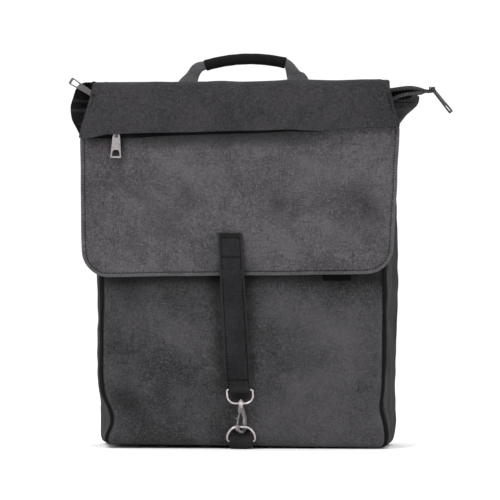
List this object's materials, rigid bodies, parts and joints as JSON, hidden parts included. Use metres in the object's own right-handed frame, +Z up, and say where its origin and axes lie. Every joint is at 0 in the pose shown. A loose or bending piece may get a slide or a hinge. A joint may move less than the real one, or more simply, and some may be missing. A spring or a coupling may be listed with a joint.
{
  "type": "messenger bag",
  "caption": "Tall flap-over canvas messenger bag with a hooked closing strap, top carry handle, zipped flap pocket and a shoulder strap behind.",
  "frame": {"origin": "middle of the flat base, on the surface the bag stands on", "axes": "+Z up, -Y the way the flap and snap hook face, +X towards the right end of the flap seen from the front"},
  "size_m": [0.4318, 0.1781, 0.441],
  "materials": {
    "waxed_canvas": "brushed waxed canvas, charcoal grey",
    "dark_canvas": "tight dark canvas and webbing",
    "lining": "smooth woven lining",
    "grip_wrap": "soft black wrap",
    "base_board": "matt stiffener sheet",
    "zip_tape": "woven zip tape",
    "zip_coil": "black nylon coil",
    "label": "blank woven satin",
    "black_plastic": "moulded acetal",
    "nickel": "satin nickel plate",
    "aged_nickel": "antique nickel plate"
  },
  "bodies": {
    "bag": {"back_panel": "waxed_canvas", "base_panel": "waxed_canvas", "front_panel": "waxed_canvas", "gusset_left": "waxed_canvas", "gusset_right": "waxed_canvas", "base_board": "base_board", "laptop_sleeve": "lining", "inner_pocket": "lining", "mouth_facing_front": "dark_canvas", "mouth_facing_rear": "dark_canvas", "zip_tape_front": "zip_tape", "zip_tape_rear": "zip_tape", "zip_coil_front": "zip_coil", "zip_coil_rear": "zip_coil", "zip_tail_front": "dark_canvas", "zip_tail_rear": "dark_canvas", "wing_left": "dark_canvas", "wing_right": "dark_canvas", "ring_tab": "dark_canvas", "handle_patch_left": "dark_canvas", "handle_patch_right": "dark_canvas", "strap_tab_left": "dark_canvas", "strap_tab_right": "dark_canvas"},
    "flap_roof": {"flap_top": "dark_canvas"},
    "flap_drop": {"flap_front": "waxed_canvas", "flap_lining": "lining", "flap_crease": "dark_canvas", "flap_band": "dark_canvas", "band_joiner": "dark_canvas", "flap_zip_tape": "zip_tape", "flap_zip_coil": "zip_coil", "label_tab": "label", "strap_sewn_end": "dark_canvas"},
    "closing_strap": {"strap_free_end": "dark_canvas"},
    "snap_loop": {"snap_loop": "nickel"},
    "snap_hook": {"snap_hook": "nickel", "gate_pin": "nickel"},
    "snap_gate": {"snap_gate": "nickel"},
    "closure_ring": {"closure_ring": "nickel"},
    "pocket_slider": {"flap_slider": "aged_nickel"},
    "pocket_puller": {"flap_puller": "aged_nickel"},
    "left_slider": {"top_slider_left": "aged_nickel"},
    "left_puller": {"top_puller_left": "aged_nickel"},
    "right_slider": {"top_slider_right": "aged_nickel"},
    "right_puller": {"top_puller_right": "aged_nickel"},
    "carry_handle": {"handle_leg_left": "dark_canvas", "handle_leg_right": "dark_canvas", "handle_grip": "grip_wrap"},
    "shoulder_strap": {"shoulder_ring_left": "nickel", "shoulder_ring_right": "nickel", "shoulder_webbing": "dark_canvas", "strap_fold_left": "dark_canvas", "strap_fold_right": "dark_canvas", "strap_adjuster": "black_plastic"}
  },
  "joints": [
    {"name": "flap_lift", "type": "hinge", "parent": "bag", "child": "flap_roof", "pos_m": [0, 0.056, 0.405], "axis": [-1, 0, 0], "range_deg": [0, 90]},
    {"name": "flap_fold", "type": "hinge", "parent": "flap_roof", "child": "flap_drop", "pos_m": [0, -0.054, 0.405], "axis": [-1, 0, 0], "range_deg": [0, 90]},
    {"name": "strap_bend", "type": "hinge", "parent": "flap_drop", "child": "closing_strap", "pos_m": [-0.008, -0.0713, 0.197], "axis": [-1, 0, 0], "range_deg": [0, 120]},
    {"name": "loop_swing", "type": "hinge", "parent": "closing_strap", "child": "snap_loop", "pos_m": [0, -0.07, 0.066], "axis": [-1, 0, 0], "range_deg": [0, 90]},
    {"name": "hook_swivel", "type": "hinge", "parent": "snap_loop", "child": "snap_hook", "pos_m": [0, -0.07, 0.0508], "axis": [0, 0, 1], "range_deg": [-2, 80]},
    {"name": "gate_press", "type": "hinge", "parent": "snap_hook", "child": "snap_gate", "pos_m": [-0.0009, -0.07107, 0.043], "axis": [0.766, -0.6428, 0], "range_deg": [0, 18], "stiffness_Nm_per_rad": 0.004, "springref_deg": -17.19},
    {"name": "ring_play", "type": "hinge", "parent": "bag", "child": "closure_ring", "pos_m": [0, -0.066, 0.009], "axis": [1, 0, 0], "range_deg": [-2, 2]},
    {"name": "pocket_zip", "type": "slide", "parent": "flap_drop", "child": "pocket_slider", "axis": [1, 0, 0], "range_m": [0, 0.275]},
    {"name": "pocket_puller_swing", "type": "hinge", "parent": "pocket_slider", "child": "pocket_puller", "pos_m": [-0.139, -0.0692, 0.351], "axis": [-1, 0, 0], "range_deg": [0, 22]},
    {"name": "left_zip", "type": "slide", "parent": "bag", "child": "left_slider", "axis": [1, 0, 0], "range_m": [0, 0.008]},
    {"name": "left_puller_swing", "type": "hinge", "parent": "left_slider", "child": "left_puller", "pos_m": [-0.167, -0.006, 0.393], "axis": [0.5291, 0, 0.8486], "range_deg": [0, 90]},
    {"name": "right_zip", "type": "slide", "parent": "bag", "child": "right_slider", "axis": [-1, 0, 0], "range_m": [0, 0.005]},
    {"name": "right_puller_swing", "type": "hinge", "parent": "right_slider", "child": "right_puller", "pos_m": [0.2116, 0, 0.4014], "axis": [0, -1, 0], "range_deg": [-20, 120]},
    {"name": "handle_swing", "type": "hinge", "parent": "bag", "child": "carry_handle", "pos_m": [0, 0.06, 0.388], "axis": [-1, 0, 0], "range_deg": [-20, 70]},
    {"name": "shoulder_strap_swing", "type": "hinge", "parent": "bag", "child": "shoulder_strap", "pos_m": [0, 0.064, 0.372], "axis": [1, 0, 0], "range_deg": [0, 130]}
  ]
}
